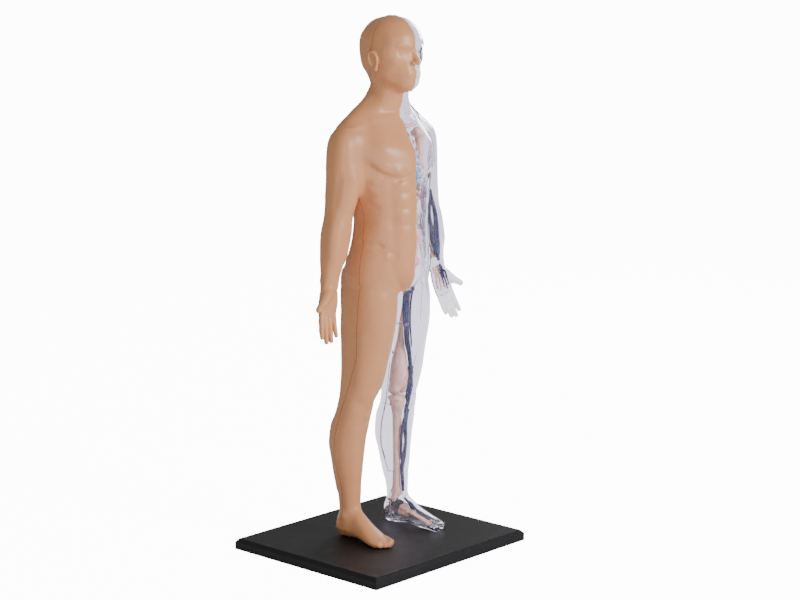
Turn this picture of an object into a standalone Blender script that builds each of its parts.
"""Standing anatomy figure: opaque skin on its right half, clear skin on its left half.

The figure stands on a square-edged board.  Its skin is four thin shells that meet at the
middle plane and at a seam down each side.  Inside are bones, organs and vessels.
Units are metres, +Z is up, the figure looks along -Y and its own left side is +X.
The origin is the middle of the board's underside.
"""

import math

import bmesh
import bpy
import numpy as np
from mathutils import Matrix, Vector

# --- driving dimensions -------------------------------------------------------------
BOARD_WIDTH = 0.232
BOARD_DEPTH = 0.205
BOARD_THICKNESS = 0.0116
BOARD_CHAMFER = 0.0035
FIGURE_X = 0.0095          # the figure stands a little off the board's middle
FIGURE_Y = -0.005
GAP = 0.0003               # clearance kept between touching pieces
WALL = 0.0022              # skin thickness
SOLE = BOARD_THICKNESS + GAP
FIGURE_TOP = 0.560
CROTCH = 0.2715            # lowest level of the trunk's hollow
SKIN_VOXEL = 0.0021
SKIN_FACES = 2700          # triangles left in the closed outer body
CAVITY_FACES = 950
LOFT_SIDES = 20
FOOT_SIDES = 14
PALM_SIDES = 12
FOOT_WALL = 0.0026
PALM_WALL = 0.0018
PALM_HOLLOW = (-0.0060, 0.0285)   # along the hand, from the wrist
HEEL_TOP = 0.027           # the heel below this level is solid, for its screw
SHOULDER_HOLLOW_TOP = 0.447
TOE_HOLLOW = -0.0265       # the foot's hollow runs from here back to the heel
HEEL_HOLLOW = 0.022
SECTION_POWER = 2.2        # 2 is an ellipse, more is squarer

SCREW_Y = 0.0300           # heel screws, in the figure's frame
SCREW_X = 0.0365
SCREW_RADIUS = 0.0013
SCREW_HEAD_RADIUS = 0.0030
SCREW_HEAD_HEIGHT = 0.0020
SCREW_RECESS = 0.0030
SCREW_TIP = 0.0215

# --- outer sections of the body: z, centre x, centre y, half width, front, back ------
TORSO = [
    (0.268, 0, 0.007, 0.0430, 0.0310, 0.0310), (0.285, 0, 0.006, 0.0500, 0.0360, 0.0330),
    (0.303, 0, 0.005, 0.0505, 0.0400, 0.0320), (0.322, 0, 0.004, 0.0460, 0.0415, 0.0280),
    (0.345, 0, 0.004, 0.0405, 0.0420, 0.0250), (0.365, 0, 0.005, 0.0420, 0.0435, 0.0260),
    (0.385, 0, 0.006, 0.0465, 0.0440, 0.0300), (0.405, 0, 0.007, 0.0505, 0.0445, 0.0330),
    (0.425, 0, 0.008, 0.0520, 0.0420, 0.0330), (0.440, 0, 0.009, 0.0500, 0.0355, 0.0310),
    (0.452, 0, 0.011, 0.0450, 0.0300, 0.0250), (0.463, 0, 0.010, 0.0360, 0.0225, 0.0210),
    (0.474, 0, 0.006, 0.0240, 0.0180, 0.0200), (0.488, 0, 0.004, 0.0200, 0.0180, 0.0190),
]
LEG = [
    (0.295, 0.0240, 0.006, 0.0230, 0.0270, 0.0280), (0.270, 0.0250, 0.006, 0.0255, 0.0310, 0.0310),
    (0.243, 0.0258, 0.0075, 0.0250, 0.0310, 0.0295), (0.215, 0.0265, 0.010, 0.0232, 0.0275, 0.0255),
    (0.185, 0.0295, 0.013, 0.0205, 0.0230, 0.0205), (0.165, 0.0320, 0.016, 0.0190, 0.0205, 0.0195),
    (0.150, 0.0340, 0.019, 0.0185, 0.0185, 0.0195), (0.130, 0.0352, 0.024, 0.0190, 0.0180, 0.0210),
    (0.110, 0.0358, 0.027, 0.0188, 0.0175, 0.0200), (0.085, 0.0362, 0.027, 0.0158, 0.0157, 0.0167),
    (0.060, 0.0368, 0.025, 0.0120, 0.0127, 0.0137), (0.040, 0.0370, 0.024, 0.0108, 0.0117, 0.0125),
    (0.022, 0.0368, 0.024, 0.0115, 0.0125, 0.0135),
]
ARM = [
    (0.4485, 0.0490, 0.010, 0.0110, 0.0110, 0.0110), (0.442, 0.0520, 0.010, 0.0160, 0.0155, 0.0155),
    (0.425, 0.0550, 0.010, 0.0178, 0.0185, 0.0185), (0.400, 0.0575, 0.010, 0.0172, 0.0185, 0.0180),
    (0.380, 0.0610, 0.010, 0.0158, 0.0170, 0.0168), (0.358, 0.0660, 0.010, 0.0145, 0.0147, 0.0150),
    (0.338, 0.0705, 0.010, 0.0150, 0.0145, 0.0150), (0.318, 0.0750, 0.009, 0.0135, 0.0125, 0.0125),
    (0.302, 0.0790, 0.009, 0.0108, 0.0095, 0.0095), (0.286, 0.0820, 0.008, 0.0092, 0.0072, 0.0072),
]
HEAD = [
    (0.479, 0, -0.006, 0.0120, 0.0200, 0.0160), (0.487, 0, -0.005, 0.0172, 0.0265, 0.0220),
    (0.496, 0, -0.004, 0.0218, 0.0298, 0.0265), (0.509, 0, -0.003, 0.0257, 0.0315, 0.0330),
    (0.524, 0, -0.003, 0.0287, 0.0330, 0.0355), (0.538, 0, -0.003, 0.0284, 0.0314, 0.0340),
    (0.549, 0, -0.003, 0.0228, 0.0250, 0.0270), (0.556, 0, -0.003, 0.0145, 0.0165, 0.0180),
    (0.560, 0, -0.003, 0.0020, 0.0020, 0.0020),
]
# foot sections: y, centre x, centre z, half width, half height
FOOT = [
    (0.0385, 0.0365, 0.0220, 0.0055, 0.0060), (0.0330, 0.0365, 0.0240, 0.0098, 0.0131),
    (0.0220, 0.0368, 0.0275, 0.0115, 0.0165), (0.0100, 0.0375, 0.0265, 0.0112, 0.0155),
    (-0.002, 0.0390, 0.0225, 0.0115, 0.0116), (-0.014, 0.0410, 0.0195, 0.0126, 0.0085),
    (-0.024, 0.0425, 0.0175, 0.0130, 0.0065), (-0.030, 0.0430, 0.0165, 0.0118, 0.0052),
]
# toes: root x, root y, tip x, tip y, radius
TOES = [
    (0.0360, -0.027, 0.0362, -0.0365, 0.0042), (0.0408, -0.028, 0.0408, -0.0378, 0.0031),
    (0.0448, -0.027, 0.0446, -0.0355, 0.0029), (0.0484, -0.025, 0.0481, -0.0325, 0.0028),
    (0.0516, -0.021, 0.0513, -0.0285, 0.0027),
]
# the hand's frame: wrist point, then unit directions along the fingers and to the thumb
WRIST = Vector((0.0825, 0.0082, 0.288))
FINGER_WAY = Vector((0.245, -0.150, -0.958)).normalized()
THUMB_WAY = Vector((0.969, 0.0, 0.248)).normalized()
PALM_LENGTH = 0.030
PALM_HALF_WIDTH = 0.0118
PALM_HALF_DEPTH = 0.0048
# fingers: offset to the thumb side at the root and at the tip, tip distance, radius
FINGERS = [
    (0.0085, 0.0095, 0.0535, 0.0029), (0.0030, 0.0032, 0.0570, 0.0030),
    (-0.0027, -0.0032, 0.0550, 0.0029), (-0.0082, -0.0098, 0.0490, 0.0026),
]
THUMB_ROOT = Vector((0.0870, 0.0060, 0.2800))
THUMB_TIP = Vector((0.1085, -0.0030, 0.2690))
THUMB_RADIUS = 0.0036
EAR = Vector((0.0285, -0.0055, 0.5150))
EAR_RADII = (0.0030, 0.0055, 0.0085)
NOSE = Vector((0.0, -0.0360, 0.5090))
NOSE_RADII = (0.0040, 0.0055, 0.0060)
NECK_HOLLOW_TOP = 0.4835   # the head's hollow starts above its own floor
CROWN_WALL = 0.0035

# side seam of the trunk and leg: z, y;  the arm's seam runs further round to the back
SEAM = [
    (0.010, 0.0230), (0.037, 0.0238), (0.068, 0.0240), (0.100, 0.0310), (0.125, 0.0285),
    (0.158, 0.0190), (0.185, 0.0100), (0.210, 0.0015), (0.243, 0.0000), (0.290, -0.0035),
    (0.325, -0.0035), (0.360, -0.0010), (0.385, 0.0040), (0.410, 0.0140), (0.440, 0.0205),
    (0.465, 0.0180), (0.485, 0.0120), (0.500, 0.0060), (0.520, 0.0030), (0.530, -0.0020),
    (0.570, -0.0050),
]
HAND_SEAM = ((0.254, 0.264, 0.282), (0.0075, 0.0024, 0.0024))   # z, depth behind its middle
# z, and how far back round the arm its seam lies there, in half depths
ARM_SEAM_SHARE = ((0.302, 0.330), (0.35, 0.70))
# z, and the |x| there at which the seam turns from the trunk to the arm
SEAM_TURN = ((0.300, 0.318, 0.338, 0.360), (0.0540, 0.0510, 0.0475, 0.0450))
SEAM_TURN_WIDTH = 0.0060

COLOURS = {
    "flesh": ((0.56, 0.34, 0.23, 1.0), 0.42, 0.0, 1.0),
    "clear": ((0.72, 0.71, 0.77, 1.0), 0.12, 0.0, 0.35),
    "black": ((0.015, 0.015, 0.018, 1.0), 0.45, 0.0, 1.0),
    "steel": ((0.55, 0.55, 0.56, 1.0), 0.30, 1.0, 1.0),
    "bone": ((0.78, 0.66, 0.56, 1.0), 0.50, 0.0, 1.0),
    "cartilage": ((0.36, 0.55, 0.68, 1.0), 0.35, 0.0, 1.0),
    "vein": ((0.03, 0.06, 0.22, 1.0), 0.35, 0.0, 1.0),
    "artery": ((0.55, 0.05, 0.05, 1.0), 0.35, 0.0, 1.0),
    "lung": ((0.70, 0.42, 0.42, 1.0), 0.50, 0.0, 1.0),
    "heart": ((0.48, 0.08, 0.08, 1.0), 0.40, 0.0, 1.0),
    "liver": ((0.30, 0.09, 0.06, 1.0), 0.40, 0.0, 1.0),
    "gut": ((0.76, 0.36, 0.36, 1.0), 0.45, 0.0, 1.0),
    "bile": ((0.16, 0.32, 0.12, 1.0), 0.40, 0.0, 1.0),
    "spleen": ((0.33, 0.08, 0.12, 1.0), 0.45, 0.0, 1.0),
    "brain": ((0.72, 0.52, 0.48, 1.0), 0.50, 0.0, 1.0),
}


# --- scene and small helpers ----------------------------------------------------------
def clear_scene():
    for old in list(bpy.data.objects):
        bpy.data.objects.remove(old, do_unlink=True)
    for old in list(bpy.data.collections):
        bpy.data.collections.remove(old)


def new_collection(name):
    made = bpy.data.collections.new(name)
    bpy.context.scene.collection.children.link(made)
    return made


clear_scene()
PARTS = new_collection("anatomy_figure")
CUTTERS = new_collection("cutters")
FIGURE = bpy.data.objects.new("figure_place", None)
FIGURE.location = (FIGURE_X, FIGURE_Y, 0.0)
PARTS.objects.link(FIGURE)


def material(part, kind):
    """A Principled material of its own for each part."""
    colour, rough, metal, alpha = COLOURS[kind]
    made = bpy.data.materials.new(f"{part}_{kind}")
    made.use_nodes = True
    shader = made.node_tree.nodes["Principled BSDF"]
    shader.inputs["Base Color"].default_value = colour
    shader.inputs["Roughness"].default_value = rough
    shader.inputs["Metallic"].default_value = metal
    shader.inputs["Alpha"].default_value = alpha
    return made


def part(name, mesh, kind, in_figure=True):
    """A named part in the model's collection, standing in the figure's frame."""
    made = bpy.data.objects.new(name, mesh)
    mesh.materials.clear()
    mesh.materials.append(material(name, kind))
    mesh.shade_smooth()
    mesh.set_sharp_from_angle(angle=math.radians(40))
    PARTS.objects.link(made)
    if in_figure:
        made.parent = FIGURE
    return made


def cutter(name, mesh, in_figure=True):
    made = bpy.data.objects.new(name, mesh)
    made.hide_render = True
    made.display_type = "WIRE"
    CUTTERS.objects.link(made)
    if in_figure:
        made.parent = FIGURE
    return made


def round_cutter(name, x, y, low, high, radius):
    """An upright round cutter in the figure's frame."""
    def shape(bm):
        place = Matrix.Translation((x, y, (low + high) / 2))
        bmesh.ops.create_cone(bm, cap_ends=True, segments=16, radius1=radius, radius2=radius,
                              depth=high - low, matrix=place)
    return cutter(name, mesh_of(shape))


def boolean(target, tool, operation):
    step = target.modifiers.new(f"{operation.lower()}_{tool.name}"[:60], "BOOLEAN")
    step.operation = operation
    step.object = tool
    step.solver = "EXACT"


def mesh_of(builder):
    """Runs builder(bmesh) and gives the mesh, with its faces turned outward."""
    bm = bmesh.new()
    builder(bm)
    bmesh.ops.recalc_face_normals(bm, faces=bm.faces)
    mesh = bpy.data.meshes.new("shape")
    bm.to_mesh(mesh)
    bm.free()
    return mesh


def evaluated(made):
    """The object's mesh after its modifiers; the helper object is then removed."""
    bpy.context.view_layer.update()
    graph = bpy.context.evaluated_depsgraph_get()
    mesh = bpy.data.meshes.new_from_object(made.evaluated_get(graph))
    bpy.data.objects.remove(made, do_unlink=True)
    return mesh


def scratch(mesh):
    made = bpy.data.objects.new("scratch", mesh)
    CUTTERS.objects.link(made)
    return made


# --- lofts ---------------------------------------------------------------------------
def smooth_rows(rows, steps):
    """Rows of numbers with Catmull-Rom rows put between them."""
    table = np.array(rows, dtype=float)
    out = []
    last = len(table) - 1
    for i in range(last):
        before, here = table[max(i - 1, 0)], table[i]
        there, after = table[i + 1], table[min(i + 2, last)]
        for k in range(steps):
            t = k / steps
            out.append(0.5 * (2 * here + (there - before) * t
                              + (2 * before - 5 * here + 4 * there - after) * t * t
                              + (3 * here - before - 3 * there + after) * t ** 3))
    out.append(table[last])
    return out


def level_ring(row, side, sides, shrink=0.0):
    """A level superellipse whose front and back half depths may differ."""
    z, cx, cy, half_width, front, back = row
    ring = []
    for k in range(sides):
        turn = 2 * math.pi * k / sides
        c, s = math.cos(turn), math.sin(turn)
        depth = (back if s > 0 else front) - shrink
        bend = 2 / SECTION_POWER
        x = cx + (half_width - shrink) * math.copysign(abs(c) ** bend, c)
        y = cy + depth * math.copysign(abs(s) ** bend, s)
        ring.append((side * x, y, z))
    return ring


def upright_ring(row, side, sides, shrink=0.0):
    """A ring across the foot, in a plane of constant y."""
    y, cx, cz, half_width, half_height = row
    ring = []
    for k in range(sides):
        turn = 2 * math.pi * k / sides
        x = cx + (half_width - shrink) * math.cos(turn)
        ring.append((side * x, y, cz + (half_height - shrink) * math.sin(turn)))
    return ring


def skin_rings(bm, rings):
    """Closed loft through rings of equal count, with a flat cap at each end."""
    loops = [[bm.verts.new(p) for p in ring] for ring in rings]
    count = len(loops[0])
    for low, high in zip(loops, loops[1:]):
        for k in range(count):
            n = (k + 1) % count
            bm.faces.new((low[k], low[n], high[n], high[k]))
    bm.faces.new(list(reversed(loops[0])))
    bm.faces.new(loops[-1])


def turned_path(bm, points, radii, sides=8):
    """A round loft along a path."""
    rings = []
    points = [Vector(p) for p in points]
    for i, centre in enumerate(points):
        ahead = points[min(i + 1, len(points) - 1)] - points[max(i - 1, 0)]
        ahead.normalize()
        side = ahead.cross(Vector((0, 1, 0)))
        if side.length < 0.2:
            side = ahead.cross(Vector((1, 0, 0)))
        side.normalize()
        other = ahead.cross(side).normalized()
        radius = float(radii[i])
        ring = []
        for k in range(sides):
            turn = 2 * math.pi * k / sides
            ring.append(centre + radius * math.cos(turn) * side
                        + radius * math.sin(turn) * other)
        rings.append(ring)
    skin_rings(bm, rings)


def ellipsoid(bm, centre, radii, turn=0.0, rings=7, sides=10):
    """A sphere stretched to three radii, tilted about the Y axis."""
    place = Matrix.Translation(centre) @ Matrix.Rotation(turn, 4, "Y")
    place = place @ Matrix.Diagonal((*radii, 1.0))
    bmesh.ops.create_uvsphere(bm, u_segments=sides, v_segments=rings, radius=1.0, matrix=place)


def capsule(bm, start, end, r_start, r_end, sides=8):
    """A tapered rod with rounded ends."""
    start, end = Vector(start), Vector(end)
    along = (end - start).normalized()
    points, radii = [], []
    for share in (0.95, 0.55, 0.0):
        points.append(start - along * r_start * share)
        radii.append(r_start * math.sqrt(1 - share * share))
    for share in (0.0, 0.55, 0.95):
        points.append(end + along * r_end * share)
        radii.append(r_end * math.sqrt(1 - share * share))
    turned_path(bm, points, radii, sides)


def fused(builder, voxel, faces, smooth=2):
    """Overlapping closed shapes joined into one body, smoothed and thinned."""
    made = scratch(mesh_of(builder))
    joined = made.modifiers.new("join", "REMESH")
    joined.mode = "VOXEL"
    joined.voxel_size = voxel
    made = scratch(evaluated(made))
    soft = made.modifiers.new("soften", "SMOOTH")
    soft.factor = 0.5
    soft.iterations = smooth
    thin = made.modifiers.new("thin", "DECIMATE")
    triangles = sum(len(p.vertices) - 2 for p in made.data.polygons)
    thin.ratio = min(1.0, faces / triangles)
    return evaluated(made)


# --- the board and its screws ---------------------------------------------------------
def make_board():
    def shape(bm):
        bmesh.ops.create_cube(bm, size=1.0)
        bmesh.ops.scale(bm, vec=(BOARD_WIDTH, BOARD_DEPTH, BOARD_THICKNESS), verts=bm.verts)
        bmesh.ops.translate(bm, vec=(0, 0, BOARD_THICKNESS / 2), verts=bm.verts)
        top = [e for e in bm.edges if all(v.co.z > BOARD_THICKNESS / 2 for v in e.verts)]
        bmesh.ops.bevel(bm, geom=top, offset=BOARD_CHAMFER, segments=1, affect="EDGES")

    board = part("base_board", mesh_of(shape), "black", in_figure=False)
    for side, word in ((-1, "right"), (1, "left")):
        for name, radius, high in (("shank", SCREW_RADIUS, 0.03),
                                   ("head", SCREW_HEAD_RADIUS, SCREW_RECESS)):
            tool = round_cutter(f"board_{name}_hole_{word}", side * SCREW_X, SCREW_Y,
                                -0.01, high, radius + GAP)
            boolean(board, tool, "DIFFERENCE")


def make_heel_screws():
    """Turned screws: a head in the board's recess and a shank up into the heel."""
    for side, word in ((-1, "right"), (1, "left")):
        bm = bmesh.new()
        low = SCREW_RECESS - SCREW_HEAD_HEIGHT - GAP
        top = SCREW_RECESS - GAP
        profile = [
            (0, SCREW_TIP), (SCREW_RADIUS * 0.4, SCREW_TIP), (SCREW_RADIUS, SCREW_TIP - 0.0015),
            (SCREW_RADIUS, top), (SCREW_HEAD_RADIUS, top), (SCREW_HEAD_RADIUS, low), (0, low),
        ]
        points = [bm.verts.new((x, 0, z)) for x, z in profile]
        for a, b in zip(points, points[1:]):
            bm.edges.new((a, b))
        mesh = bpy.data.meshes.new("screw")
        bm.to_mesh(mesh)
        bm.free()
        screw = part(f"heel_screw_{word}", mesh, "steel")
        screw.location = (side * SCREW_X, SCREW_Y, 0)
        turn = screw.modifiers.new("turn", "SCREW")
        turn.steps = turn.render_steps = 16
        turn.use_merge_vertices = True
        turn.merge_threshold = 0.00001


# --- the skin -------------------------------------------------------------------------
def hand_point(along, across, out=0.0):
    """A point of the left hand: along the fingers, to the thumb side, out of the palm."""
    palm_way = FINGER_WAY.cross(THUMB_WAY)
    return WRIST + along * FINGER_WAY + across * THUMB_WAY + out * palm_way


def mirrored(point, side):
    return Vector((side * point[0], point[1], point[2]))


def palm(bm, side, shrink=0.0, start=-0.004, end=PALM_LENGTH):
    """A flattened loft that widens from the wrist to the knuckles."""
    shares = (0.0, 0.2, 0.45, 0.75, 1.0)
    widths = (0.70, 0.85, 0.98, 1.0, 0.92)
    rings = []
    for share, width in zip(shares, widths):
        along = start + share * (end - start)
        ring = []
        for k in range(PALM_SIDES):
            turn = 2 * math.pi * k / PALM_SIDES
            across = (PALM_HALF_WIDTH * width - shrink) * math.cos(turn)
            out = (PALM_HALF_DEPTH * (1.15 - 0.3 * share) - shrink) * math.sin(turn)
            ring.append(mirrored(hand_point(along, across, out), side))
        rings.append(ring)
    skin_rings(bm, rings)


def outer_body(bm):
    skin_rings(bm, [level_ring(r, 1, LOFT_SIDES) for r in smooth_rows(TORSO, 3)])
    skin_rings(bm, [level_ring(r, 1, LOFT_SIDES) for r in smooth_rows(HEAD, 3)])
    ellipsoid(bm, NOSE, NOSE_RADII)
    for side in (-1, 1):
        skin_rings(bm, [level_ring(r, side, LOFT_SIDES) for r in smooth_rows(LEG, 3)])
        skin_rings(bm, [level_ring(r, side, LOFT_SIDES) for r in smooth_rows(ARM, 3)])
        skin_rings(bm, [upright_ring(r, side, FOOT_SIDES) for r in smooth_rows(FOOT, 3)])
        palm(bm, side)
        for root, tip, reach, radius in FINGERS:
            capsule(bm, mirrored(hand_point(0.024, root), side),
                    mirrored(hand_point(reach, tip, 0.0006), side), radius, radius * 0.85)
        capsule(bm, mirrored(THUMB_ROOT, side), mirrored(THUMB_TIP, side),
                THUMB_RADIUS * 1.3, THUMB_RADIUS * 0.8)
        for x0, y0, x1, y1, radius in TOES:
            height = SOLE + radius * 0.75
            capsule(bm, (side * x0, y0, height + 0.001), (side * x1, y1, height),
                    radius, radius)
        ellipsoid(bm, mirrored(EAR, side), EAR_RADII)


def inner_body(bm):
    """The hollow inside the skin: the same sections less the wall."""
    trunk = [r for r in smooth_rows(TORSO, 3) if r[0] > CROTCH]
    skin_rings(bm, [level_ring(r, 1, LOFT_SIDES, WALL) for r in trunk])
    skull_room = [r for r in smooth_rows(HEAD, 3) if NECK_HOLLOW_TOP < r[0] < FIGURE_TOP - CROWN_WALL]
    skin_rings(bm, [level_ring(r, 1, LOFT_SIDES, WALL + GAP) for r in skull_room])
    for side in (-1, 1):
        leg = [r for r in smooth_rows(LEG, 3) if r[0] > HEEL_TOP]
        arm = [r for r in smooth_rows(ARM, 3) if r[0] < SHOULDER_HOLLOW_TOP]
        foot = [r for r in smooth_rows(FOOT, 3) if TOE_HOLLOW < r[0] < HEEL_HOLLOW]
        skin_rings(bm, [level_ring(r, side, LOFT_SIDES, WALL) for r in leg])
        skin_rings(bm, [level_ring(r, side, LOFT_SIDES, WALL) for r in arm])
        skin_rings(bm, [upright_ring(r, side, FOOT_SIDES, FOOT_WALL) for r in foot])
        palm(bm, side, PALM_WALL, *PALM_HOLLOW)


def seam_y(x, z):
    """Where the front and back shells part, for a point at |x| and height z."""
    heights, depths = zip(*SEAM)
    trunk = float(np.interp(z, heights, depths))
    rows = np.array(ARM)[::-1]
    back = rows[:, 2] + np.interp(rows[:, 0], *ARM_SEAM_SHARE) * rows[:, 5]
    arm = float(np.interp(z, rows[:, 0], back))
    turn = float(np.interp(z, *SEAM_TURN))
    if z < WRIST.z:
        slope = FINGER_WAY.y / FINGER_WAY.z
        arm = WRIST.y + (z - WRIST.z) * slope + float(np.interp(z, *HAND_SEAM))
    share = min(1.0, max(0.0, (abs(x) - turn) / SEAM_TURN_WIDTH))
    share = share * share * (3 - 2 * share)
    if z < 0.215:
        share = 0.0
    return trunk + share * (arm - trunk)


def quarter_block(name, side, front):
    """A block that holds one quarter of the figure, with the seam as one wavy face."""
    columns = (GAP / 2, 0.0450, 0.0475, 0.0500, 0.0530, 0.0565, 0.0600, 0.130)
    heights = (SOLE, 0.037, 0.068, 0.100, 0.125, 0.158, 0.185, 0.210, 0.230, 0.245, 0.254, 0.264,
               0.282, 0.302, 0.318, 0.338, 0.360, 0.380, 0.400, 0.420, 0.440, 0.456, 0.470,
               0.485, 0.500, 0.520, 0.530, 0.570)
    way = -1 if front else 1
    far = -0.12 if front else 0.12

    def shape(bm):
        near = [[bm.verts.new((side * x, seam_y(x, z) + way * GAP / 2, z)) for x in columns]
                for z in heights]
        back = [[bm.verts.new((side * x, far, z)) for x in columns] for z in heights]
        for grid in (near, back):
            for i in range(len(heights) - 1):
                for k in range(len(columns) - 1):
                    bm.faces.new((grid[i][k], grid[i][k + 1], grid[i + 1][k + 1]))
                    bm.faces.new((grid[i][k], grid[i + 1][k + 1], grid[i + 1][k]))
        for i in range(len(heights) - 1):
            for k in (0, len(columns) - 1):
                bm.faces.new((near[i][k], near[i + 1][k], back[i + 1][k], back[i][k]))
        for k in range(len(columns) - 1):
            for i in (0, len(heights) - 1):
                bm.faces.new((near[i][k], near[i][k + 1], back[i][k + 1], back[i][k]))

    return cutter(name, mesh_of(shape))


def make_skin():
    outer = fused(outer_body, SKIN_VOXEL, SKIN_FACES)
    cavity = cutter("skin_cavity", fused(inner_body, SKIN_VOXEL, CAVITY_FACES))
    for side, word, kind in ((-1, "right", "flesh"), (1, "left", "clear")):
        for front, place in ((True, "front"), (False, "back")):
            name = f"skin_{place}_{word}"
            shell = part(name, outer.copy(), kind)
            boolean(shell, quarter_block(f"{name}_block", side, front), "INTERSECT")
            boolean(shell, cavity, "DIFFERENCE")
            if not front:
                bore = round_cutter(f"heel_bore_{word}", side * SCREW_X, SCREW_Y,
                                    0.0, SCREW_TIP + GAP, SCREW_RADIUS + GAP)
                boolean(shell, bore, "DIFFERENCE")


# --- head -----------------------------------------------------------------------------
BRAIN_CASE = Vector((0.0, -0.0020, 0.5240))
CASE_RADII = (0.0245, 0.0292, 0.0288)
CASE_WALL = 0.0014
BASE_DEPTH = 0.50          # depth of the skull's floor as a share of the cap's height
BRAIN_SPACE = 0.0012


def half_case(bm, upper):
    """Half of an egg-shaped case as an open sheet; the lower half is shallower."""
    bmesh.ops.create_uvsphere(bm, u_segments=16, v_segments=10, radius=1.0)
    gone = [v for v in bm.verts if (v.co.z < -0.01 if upper else v.co.z > 0.01)]
    bmesh.ops.delete(bm, geom=gone, context="VERTS")
    deep = 1.0 if upper else BASE_DEPTH
    shift = GAP / 2 if upper else -2 * GAP
    for v in bm.verts:
        v.co.x *= CASE_RADII[0]
        v.co.y *= CASE_RADII[1]
        v.co.z *= CASE_RADII[2] * deep
        v.co += BRAIN_CASE + Vector((0, 0, shift))


def walled(mesh, thickness):
    """The open sheet given a wall on its inner side."""
    made = scratch(mesh)
    wall = made.modifiers.new("wall", "SOLIDIFY")
    wall.thickness = thickness
    wall.offset = -1.0
    return evaluated(made)


def open_sheet(builder):
    """A mesh whose faces keep the direction the builder gave them."""
    bm = bmesh.new()
    builder(bm)
    mesh = bpy.data.meshes.new("sheet")
    bm.to_mesh(mesh)
    bm.free()
    return mesh


def make_head():
    part("skull_cap", walled(open_sheet(lambda bm: half_case(bm, True)), CASE_WALL), "bone")
    floor = walled(open_sheet(lambda bm: half_case(bm, False)), CASE_WALL)

    def face(bm):
        """The skull's floor with the face, the upper jaw and a cheek arch on each side."""
        bm.from_mesh(floor)
        ellipsoid(bm, (0, -0.0185, 0.5105), (0.0115, 0.0085, 0.0105))
        ellipsoid(bm, (0, -0.0170, 0.5015), (0.0085, 0.0080, 0.0050))
        for side in (-1, 1):
            capsule(bm, (side * 0.0080, -0.0210, 0.5100), (side * 0.0190, -0.0060, 0.5120),
                    0.0022, 0.0020)

    skull = part("skull", fused(face, 0.0010, 800), "bone")
    inset = CASE_WALL + BRAIN_SPACE / 2
    room = cutter("brain_room", mesh_of(lambda bm: ellipsoid(
        bm, BRAIN_CASE, (CASE_RADII[0] - inset, CASE_RADII[1] - inset,
                         CASE_RADII[2] * BASE_DEPTH - inset), 0.0, 10, 16)))
    boolean(skull, room, "DIFFERENCE")

    def jaw(bm):
        path = [(0.0170, 0.0010, 0.5060), (0.0160, -0.0015, 0.4990), (0.0130, -0.0088, 0.4940),
                (0.0080, -0.0166, 0.4910), (0.0, -0.0196, 0.4905)]
        path += [(-x, y, z) for x, y, z in reversed(path[:-1])]
        turned_path(bm, path, [0.0020] * 2 + [0.0026] * 5 + [0.0020] * 2)

    part("jaw", mesh_of(jaw), "bone")

    def brain(bm):
        bmesh.ops.create_uvsphere(bm, u_segments=14, v_segments=9, radius=1.0)
        inset = CASE_WALL + BRAIN_SPACE
        for v in bm.verts:
            deep = 1.0 if v.co.z > 0 else BASE_DEPTH * 0.86
            v.co.x *= CASE_RADII[0] - inset
            v.co.y *= CASE_RADII[1] - inset
            v.co.z *= (CASE_RADII[2] - inset) * deep
            v.co += BRAIN_CASE

    part("brain", mesh_of(brain), "brain")


# --- trunk bones ----------------------------------------------------------------------
SPINE = [
    (0.5050, 0.0065, 0.0042), (0.4750, 0.0080, 0.0045), (0.4550, 0.0135, 0.0050),
    (0.4300, 0.0205, 0.0055), (0.4000, 0.0235, 0.0060), (0.3700, 0.0200, 0.0065),
    (0.3450, 0.0145, 0.0070), (0.3200, 0.0120, 0.0072), (0.3000, 0.0150, 0.0070),
    (0.2850, 0.0200, 0.0065), (0.2750, 0.0225, 0.0045),
]
VERTEBRAE = 25
DISC_SHARE = 0.80
RIB_CENTRE_Y = 0.0080
RIB_DROP = 0.0140          # how much lower a rib is in front than behind
RIB_TOP = 0.4460
RIB_PITCH = 0.0100
RIB_HEIGHT = 0.0056
RIB_COUNT = 7
RIB_WALL = 0.0012
# level, half width, front depth, back depth
CAGE = [
    (0.3760, 0.0365, 0.0335, 0.0190), (0.3900, 0.0400, 0.0370, 0.0225),
    (0.4050, 0.0422, 0.0380, 0.0260), (0.4200, 0.0395, 0.0370, 0.0260),
    (0.4360, 0.0320, 0.0320, 0.0230), (0.4460, 0.0240, 0.0265, 0.0180),
]


def spine_at(z):
    heights = [row[0] for row in reversed(SPINE)]
    y = float(np.interp(z, heights, [row[1] for row in reversed(SPINE)]))
    radius = float(np.interp(z, heights, [row[2] for row in reversed(SPINE)]))
    return y, radius


def make_spine():
    def shape(bm):
        top, bottom = SPINE[0][0], SPINE[-1][0]
        rings = []
        for i in range(2 * VERTEBRAE + 1):
            z = top + (bottom - top) * i / (2 * VERTEBRAE)
            y, radius = spine_at(z)
            radius *= DISC_SHARE if i % 2 == 0 else 1.0
            rings.append([(radius * math.cos(k * math.pi / 3), y + radius * math.sin(k * math.pi / 3), z)
                          for k in range(6)])
        skin_rings(bm, rings)

    part("spine", mesh_of(shape), "bone")


def cage_point(turn, level, side, inset=0.0):
    """A point of the rib cage: turn runs from the spine (0) round to the front (180)."""
    table = np.array(CAGE)
    width, front, back = (float(np.interp(level, table[:, 0], table[:, k])) for k in (1, 2, 3))
    angle = math.radians(turn)
    depth = back if turn < 90 else front
    return (side * (width - inset) * math.sin(angle),
            RIB_CENTRE_Y + (depth - inset) * math.cos(angle),
            level - RIB_DROP * turn / 180)


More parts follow.
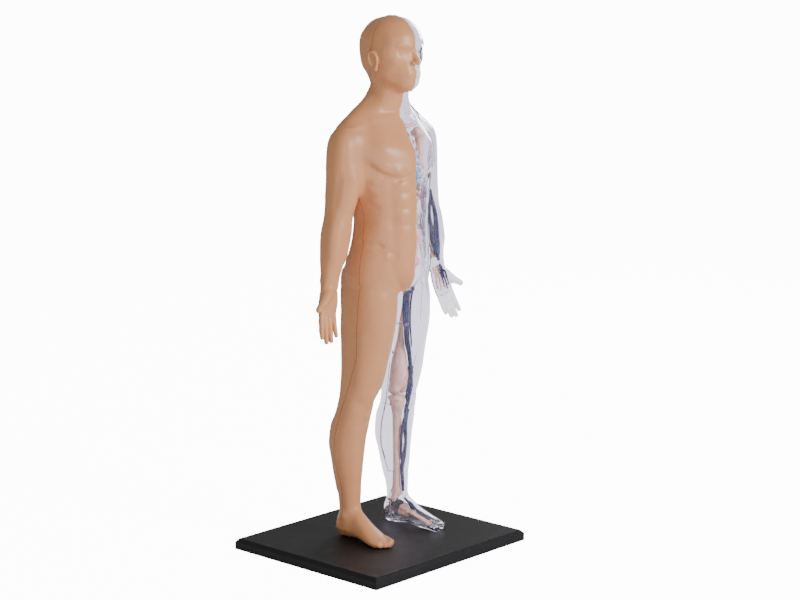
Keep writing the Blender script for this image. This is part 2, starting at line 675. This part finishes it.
def rib_ladder(bm, start, end, side):
    """Ribs as bands of one sheet, joined by a strip at each end."""
    turns = np.linspace(start, end, 6)
    rows = []
    for k in range(RIB_COUNT):
        level = RIB_TOP - k * RIB_PITCH
        for height in (level, level - RIB_HEIGHT):
            rows.append([bm.verts.new(cage_point(t, height, side)) for t in turns])
    for i in range(len(rows) - 1):
        for k in range(len(turns) - 1):
            if i % 2 == 0 or k in (0, len(turns) - 2):
                quad = (rows[i][k], rows[i + 1][k], rows[i + 1][k + 1], rows[i][k + 1])
                bm.faces.new(quad if side > 0 else quad[::-1])


def make_ribs():
    for side, word in ((-1, "right"), (1, "left")):
        for start, end, place in ((17, 88, "back"), (92, 163, "front")):
            sheet = open_sheet(lambda bm: rib_ladder(bm, start, end, side))
            part(f"ribs_{place}_{word}", walled(sheet, RIB_WALL), "bone")

    def plate(bm):
        turns = (165.5, 172.0, 180.0)
        levels = np.linspace(0.4460, 0.3900, 8)
        rows = []
        for level in levels:
            left = [cage_point(t, level, 1) for t in turns]
            rows.append([bm.verts.new(p) for p in left + [(-x, y, z) for x, y, z in left[-2::-1]]])
        for upper, lower in zip(rows, rows[1:]):
            for k in range(4):
                bm.faces.new((upper[k], lower[k], lower[k + 1], upper[k + 1]))

    part("sternum_plate", walled(open_sheet(plate), 0.0018), "cartilage")


PELVIS_FLOOR = 0.2740


def make_pelvis():
    """A flared ring: low at the front, with a wing on each side."""
    heights = (0.0, 0.35, 0.65, 1.0)
    widths = (0.0205, 0.0225, 0.0310, 0.0405)

    def shape(bm):
        rows = []
        for share, width in zip(heights, widths):
            row = []
            for k in range(24):
                angle = 2 * math.pi * k / 24
                c, s = math.cos(angle), math.sin(angle)
                top = 0.2820 + 0.0290 * abs(c) ** 6 + (0.010 if s > 0 else 0.0) * s * s
                depth = 0.0270 if s > 0 else 0.0255
                half = 0.0205 + (width - 0.0205) * abs(c)
                row.append(bm.verts.new((half * c, 0.0065 + depth * s,
                                         PELVIS_FLOOR + share * (top - PELVIS_FLOOR))))
            rows.append(row)
        for lower, upper in zip(rows, rows[1:]):
            for k in range(24):
                n = (k + 1) % 24
                bm.faces.new((lower[k], lower[n], upper[n], upper[k]))

    part("pelvis", walled(open_sheet(shape), 0.0022), "bone")


# --- limb bones on the clear side -------------------------------------------------------
BONES = {
    "clavicle": [(0.0100, -0.0125, 0.4460, 0.0020), (0.0200, -0.0110, 0.4465, 0.0016),
                 (0.0310, -0.0010, 0.4455, 0.0016), (0.0410, 0.0050, 0.4450, 0.0020)],
    "humerus": [(0.0560, 0.0105, 0.4385, 0.0045), (0.0562, 0.0103, 0.4345, 0.0062),
                (0.0568, 0.0100, 0.4270, 0.0045), (0.0590, 0.0100, 0.4000, 0.0034),
                (0.0620, 0.0100, 0.3750, 0.0036), (0.0648, 0.0100, 0.3640, 0.0058),
                (0.0660, 0.0100, 0.3575, 0.0052)],
    "radius": [(0.0705, 0.0095, 0.3545, 0.0026), (0.0718, 0.0094, 0.3480, 0.0020),
               (0.0752, 0.0090, 0.3350, 0.0019), (0.0788, 0.0088, 0.3180, 0.0020),
               (0.0815, 0.0086, 0.3020, 0.0024), (0.0820, 0.0085, 0.2985, 0.0022)],
    "ulna": [(0.0628, 0.0100, 0.3545, 0.0025), (0.0642, 0.0098, 0.3480, 0.0021),
             (0.0674, 0.0094, 0.3350, 0.0018), (0.0713, 0.0090, 0.3180, 0.0016),
             (0.0754, 0.0088, 0.3020, 0.0018), (0.0762, 0.0088, 0.2990, 0.0016)],
    "femur": [(0.0285, 0.0070, 0.2815, 0.0038), (0.0305, 0.0072, 0.2790, 0.0056),
              (0.0345, 0.0075, 0.2745, 0.0044), (0.0372, 0.0080, 0.2660, 0.0052),
              (0.0345, 0.0090, 0.2540, 0.0036), (0.0300, 0.0105, 0.2360, 0.0026),
              (0.0292, 0.0115, 0.2200, 0.0030), (0.0290, 0.0125, 0.2050, 0.0052),
              (0.0300, 0.0145, 0.1870, 0.0088), (0.0315, 0.0160, 0.1720, 0.0101),
              (0.0333, 0.0170, 0.1620, 0.0099), (0.0335, 0.0175, 0.1565, 0.0085)],
    "tibia": [(0.0338, 0.0185, 0.1545, 0.0084), (0.0340, 0.0190, 0.1500, 0.0088),
              (0.0342, 0.0200, 0.1400, 0.0060), (0.0345, 0.0215, 0.1200, 0.0045),
              (0.0350, 0.0225, 0.0850, 0.0040), (0.0358, 0.0235, 0.0550, 0.0038),
              (0.0360, 0.0240, 0.0400, 0.0042), (0.0360, 0.0240, 0.0365, 0.0040)],
    "fibula": [(0.0445, 0.0265, 0.1440, 0.0022), (0.0450, 0.0280, 0.1200, 0.0017),
               (0.0445, 0.0275, 0.0850, 0.0015), (0.0432, 0.0255, 0.0550, 0.0015),
               (0.0422, 0.0248, 0.0430, 0.0014)],
}


def make_limb_bones():
    for name, rows in BONES.items():
        def shape(bm, rows=rows):
            turned_path(bm, [r[:3] for r in rows], [r[3] for r in rows], sides=10)
        part(name, mesh_of(shape), "bone")

    def hand(bm):
        ellipsoid(bm, hand_point(0.0005, 0, -0.0003), (0.0038, 0.0015, 0.0028))
        for root, tip in ((0.0024, 0.0058), (0.0009, 0.0020), (-0.0008, -0.0018), (-0.0022, -0.0054)):
            capsule(bm, hand_point(0.0010, root, -0.0003), hand_point(0.0215, tip, -0.0003),
                    0.0012, 0.0011, sides=6)

    part("hand_bones", fused(hand, 0.0007, 360, smooth=1), "bone")

    def foot(bm):
        ellipsoid(bm, (0.0372, 0.0095, 0.0260), (0.0055, 0.0060, 0.0050))
        for x0, x1, y1 in ((0.0355, 0.0350, -0.0210), (0.0370, 0.0382, -0.0215),
                           (0.0380, 0.0412, -0.0210), (0.0395, 0.0442, -0.0195),
                           (0.0410, 0.0470, -0.0175)):
            capsule(bm, (x0, 0.0060, 0.0245), (x1, y1, 0.0175), 0.0022, 0.0014, sides=6)

    part("foot_bones", fused(foot, 0.0009, 460, smooth=1), "bone")

    outline = bpy.data.curves.new("scapula", "CURVE")
    outline.dimensions = "2D"
    outline.fill_mode = "BOTH"
    outline.extrude = 0.0007
    line = outline.splines.new("POLY")
    corners = ((-0.0085, 0.0130), (0.0040, 0.0120), (0.0090, 0.0125), (0.0105, 0.0070), (-0.0035, -0.0185))
    line.points.add(len(corners) - 1)
    for point, (x, y) in zip(line.points, corners):
        point.co = (x, y, 0, 1)
    line.use_cyclic_u = True
    blade = scratch(outline)
    mesh = evaluated(blade)
    bm = bmesh.new()
    bm.from_mesh(mesh)
    bmesh.ops.remove_doubles(bm, verts=bm.verts, dist=0.00001)
    bmesh.ops.recalc_face_normals(bm, faces=bm.faces)
    bm.to_mesh(mesh)
    bm.free()
    scapula = part("scapula", mesh, "bone")
    scapula.rotation_euler = (math.radians(90), 0, math.radians(-30))
    scapula.location = (0.0335, 0.0285, 0.4240)


# --- organs ---------------------------------------------------------------------------
LUNG = [
    (0.4395, 0.0155, 0.0085, 0.0040, 0.0045, 0.0050), (0.4340, 0.0175, 0.0080, 0.0075, 0.0090, 0.0100),
    (0.4240, 0.0215, 0.0070, 0.0105, 0.0140, 0.0145), (0.4080, 0.0240, 0.0060, 0.0125, 0.0170, 0.0165),
    (0.3940, 0.0245, 0.0060, 0.0125, 0.0170, 0.0155), (0.3830, 0.0245, 0.0060, 0.0112, 0.0140, 0.0135),
    (0.3770, 0.0245, 0.0060, 0.0060, 0.0080, 0.0080),
]
COLON_RADIUS = 0.0045
COLON = [
    (-0.0180, -0.0050, 0.2950), (-0.0235, -0.0085, 0.3060), (-0.0250, -0.0125, 0.3220),
    (-0.0205, -0.0165, 0.3320), (-0.0080, -0.0210, 0.3325), (0.0060, -0.0210, 0.3325),
    (0.0195, -0.0170, 0.3335), (0.0250, -0.0125, 0.3230), (0.0245, -0.0080, 0.3080),
    (0.0190, -0.0010, 0.2975), (0.0115, 0.0030, 0.2950), (0.0040, 0.0060, 0.2935),
]
GUT_RADIUS = 0.0035
GUT_ROWS = 4
GUT_PITCH = 0.0083
GUT_HALF_WIDTH = 0.0125
GUT_TOP = 0.3225
GUT_DEPTH = -0.0225


def gut_path():
    """Level runs joined by round turns, from the top row down."""
    path = []
    for row in range(GUT_ROWS):
        way = 1 if row % 2 == 0 else -1
        z = GUT_TOP - row * GUT_PITCH
        for share in (-1.0, -0.6, -0.2, 0.2, 0.6, 1.0):
            wave = 0.0008 * math.sin(share * 5 + row)
            path.append((way * share * (GUT_HALF_WIDTH - 0.001), GUT_DEPTH + 2 * wave, z))
        if row < GUT_ROWS - 1:
            path.append((way * (GUT_HALF_WIDTH + 0.0025), GUT_DEPTH, z - GUT_PITCH / 2))
    return path


def make_organs():
    for side, word in ((-1, "right"), (1, "left")):
        rows = smooth_rows(LUNG, 2)
        part(f"{word}_lung", mesh_of(lambda bm: skin_rings(
            bm, [level_ring(r, side, 10) for r in rows])), "lung")
        part(f"{word}_kidney", mesh_of(lambda bm: ellipsoid(
            bm, (side * 0.0185, 0.0160, 0.3380), (0.0062, 0.0052, 0.0110), -side * 0.2)), "spleen")

    def heart(bm):
        ellipsoid(bm, (0.0030, -0.0100, 0.3970), (0.0112, 0.0080, 0.0135), -0.45)
        ellipsoid(bm, (-0.0020, -0.0090, 0.4060), (0.0080, 0.0070, 0.0080))
        capsule(bm, (-0.0010, -0.0085, 0.4100), (0.0010, -0.0080, 0.4170), 0.0032, 0.0026)

    part("heart", fused(heart, 0.0013, 320), "heart")

    def liver(bm):
        ellipsoid(bm, (-0.0170, -0.0105, 0.3615), (0.0180, 0.0118, 0.0098), 0.10)
        ellipsoid(bm, (-0.0020, -0.0135, 0.3630), (0.0100, 0.0095, 0.0068), 0.15)

    part("liver", fused(liver, 0.0016, 320), "liver")
    part("gallbladder", mesh_of(lambda bm: ellipsoid(
        bm, (-0.0120, -0.0185, 0.3460), (0.0030, 0.0033, 0.0042), 0.3, 6, 8)), "bile")

    def stomach(bm):
        ellipsoid(bm, (0.0205, -0.0120, 0.3640), (0.0090, 0.0095, 0.0085))
        ellipsoid(bm, (0.0185, -0.0155, 0.3555), (0.0075, 0.0085, 0.0090), 0.3)
        ellipsoid(bm, (0.0125, -0.0180, 0.3490), (0.0075, 0.0068, 0.0058), 0.3)

    part("stomach", fused(stomach, 0.0014, 320), "gut")
    part("spleen", mesh_of(lambda bm: ellipsoid(
        bm, (0.0290, 0.0125, 0.3620), (0.0042, 0.0058, 0.0088))), "spleen")
    part("pancreas", mesh_of(lambda bm: turned_path(
        bm, [(-0.0040, -0.0020, 0.3455), (0.0020, -0.0008, 0.3460), (0.0120, 0.0040, 0.3480),
             (0.0210, 0.0085, 0.3500)], [0.0024, 0.0028, 0.0030, 0.0020])), "bile")
    colon = smooth_rows(COLON, 2)
    part("large_intestine", mesh_of(lambda bm: turned_path(
        bm, colon, [COLON_RADIUS * (1.0 if i % 2 else 0.86) for i in range(len(colon))])), "gut")
    coil = smooth_rows(gut_path(), 1)
    part("small_intestine", mesh_of(lambda bm: turned_path(
        bm, coil, [GUT_RADIUS] * len(coil))), "gut")
    part("bladder", mesh_of(lambda bm: ellipsoid(
        bm, (0, -0.0060, 0.2815), (0.0085, 0.0070, 0.0060))), "bile")
    part("trachea", mesh_of(lambda bm: turned_path(
        bm, [(0, -0.0050, 0.4830), (0, -0.0045, 0.4700), (0, 0.0010, 0.4500), (0, 0.0055, 0.4280)],
        [0.0033, 0.0032, 0.0032, 0.0032])), "bone")


# --- vessels --------------------------------------------------------------------------
VESSELS = {
    "femoral_vein": ("vein", [
        (0.0247, -0.0050, 0.2740, 0.0022), (0.0232, -0.0030, 0.2640, 0.0024),
        (0.0235, -0.0020, 0.2430, 0.0022), (0.0250, -0.0010, 0.2320, 0.0020),
        (0.0293, 0.0020, 0.2165, 0.0019), (0.0340, 0.0035, 0.2020, 0.0018),
        (0.0385, 0.0055, 0.1880, 0.0018), (0.0415, 0.0065, 0.1760, 0.0020),
        (0.0427, 0.0080, 0.1650, 0.0020), (0.0425, 0.0100, 0.1550, 0.0020),
        (0.0410, 0.0105, 0.1450, 0.0018), (0.0385, 0.0130, 0.1200, 0.0018),
        (0.0380, 0.0148, 0.1000, 0.0015), (0.0375, 0.0162, 0.0800, 0.0013),
        (0.0368, 0.0176, 0.0600, 0.0012), (0.0368, 0.0168, 0.0450, 0.0011)]),
    "saphenous_vein": ("vein", [
        (0.0190, -0.0060, 0.2730, 0.0012), (0.0185, -0.0065, 0.2600, 0.0012),
        (0.0215, -0.0070, 0.2450, 0.0012), (0.0225, -0.0065, 0.2365, 0.0012),
        (0.0240, -0.0045, 0.2250, 0.0012), (0.0285, -0.0020, 0.2100, 0.0012),
        (0.0340, 0.0005, 0.1950, 0.0012), (0.0368, 0.0045, 0.1780, 0.0012),
        (0.0390, 0.0060, 0.1650, 0.0012), (0.0385, 0.0075, 0.1550, 0.0012),
        (0.0372, 0.0085, 0.1485, 0.0011), (0.0352, 0.0115, 0.1400, 0.0011),
        (0.0333, 0.0145, 0.1205, 0.0011), (0.0335, 0.0158, 0.0990, 0.0010),
        (0.0346, 0.0164, 0.0860, 0.0009)]),
    "femoral_artery": ("artery", [
        (0.0268, 0.0010, 0.2640, 0.0011), (0.0268, 0.0016, 0.2430, 0.0010),
        (0.0288, 0.0030, 0.2320, 0.0010), (0.0320, 0.0047, 0.2165, 0.0009),
        (0.0362, 0.0065, 0.2020, 0.0008), (0.0372, 0.0080, 0.1950, 0.0007)]),
    "cephalic_vein": ("vein", [
        (0.0635, 0.0010, 0.3850, 0.0011), (0.0690, 0.0020, 0.3600, 0.0013),
        (0.0745, 0.0025, 0.3380, 0.0013), (0.0788, 0.0033, 0.3180, 0.0012),
        (0.0812, 0.0046, 0.3040, 0.0010)]),
    "basilic_vein": ("vein", [
        (0.0570, 0.0010, 0.3950, 0.0012), (0.0600, 0.0015, 0.3750, 0.0013),
        (0.0635, 0.0018, 0.3600, 0.0013), (0.0678, 0.0024, 0.3380, 0.0013),
        (0.0722, 0.0035, 0.3180, 0.0012), (0.0765, 0.0046, 0.3040, 0.0010)]),
    "foot_vein": ("vein", [
        (0.0370, 0.0120, 0.0370, 0.0008), (0.0374, 0.0060, 0.0330, 0.0009),
        (0.0385, -0.0020, 0.0286, 0.0009), (0.0402, -0.0100, 0.0244, 0.0008)]),
    "aorta": ("artery", [
        (0.0012, 0.0085, 0.4120, 0.0019), (0.0012, 0.0135, 0.4000, 0.0021),
        (0.0012, 0.0105, 0.3750, 0.0021), (0.0020, 0.0050, 0.3480, 0.0020),
        (0.0012, 0.0015, 0.3220, 0.0018), (0.0012, 0.0045, 0.3030, 0.0016)]),
    "vena_cava": ("vein", [
        (-0.0045, 0.0090, 0.4120, 0.0018), (-0.0045, 0.0140, 0.3980, 0.0019),
        (-0.0055, 0.0125, 0.3780, 0.0019), (-0.0062, 0.0118, 0.3660, 0.0018),
        (-0.0066, 0.0084, 0.3480, 0.0018),
        (-0.0050, 0.0020, 0.3220, 0.0018), (-0.0050, 0.0050, 0.3030, 0.0016)]),
}
VESSEL_STEPS = 2


def make_vessels():
    for name, (kind, rows) in VESSELS.items():
        def shape(bm, rows=rows):
            table = smooth_rows(rows, VESSEL_STEPS)
            turned_path(bm, [r[:3] for r in table], [r[3] for r in table], sides=6)
        part(name, mesh_of(shape), kind)

    def palm_vein(bm):
        rows = [(0.0010, 0.0000), (0.0050, 0.0005), (0.0100, 0.0010), (0.0150, 0.0015)]
        turned_path(bm, [hand_point(a, b, 0.0018) for a, b in rows], [0.0005] * 4, sides=6)

    part("palm_vein", mesh_of(palm_vein), "vein")


# --- locating pegs of the clear back shell ---------------------------------------------
PEGS = {
    "thigh_peg": (0.0180, 0.2365, -0.0090, 0.0305, 0.0019),
    "calf_pin": (0.0242, 0.1450, 0.0215, 0.0320, 0.0011),
    "ankle_pin": (0.0298, 0.0690, 0.0225, 0.0310, 0.0008),
}


def make_pegs():
    for name, (x, z, start, end, radius) in PEGS.items():
        bm = bmesh.new()
        bmesh.ops.create_cone(bm, cap_ends=True, segments=12, radius1=radius, radius2=radius,
                              depth=end - start)
        mesh = bpy.data.meshes.new(name)
        bm.to_mesh(mesh)
        bm.free()
        peg = part(name, mesh, "clear")
        peg.rotation_euler = (math.radians(90), 0, 0)
        peg.location = (x, (start + end) / 2, z)


make_board()
make_heel_screws()
make_skin()
make_head()
make_spine()
make_ribs()
make_pelvis()
make_limb_bones()
make_organs()
make_vessels()
make_pegs()
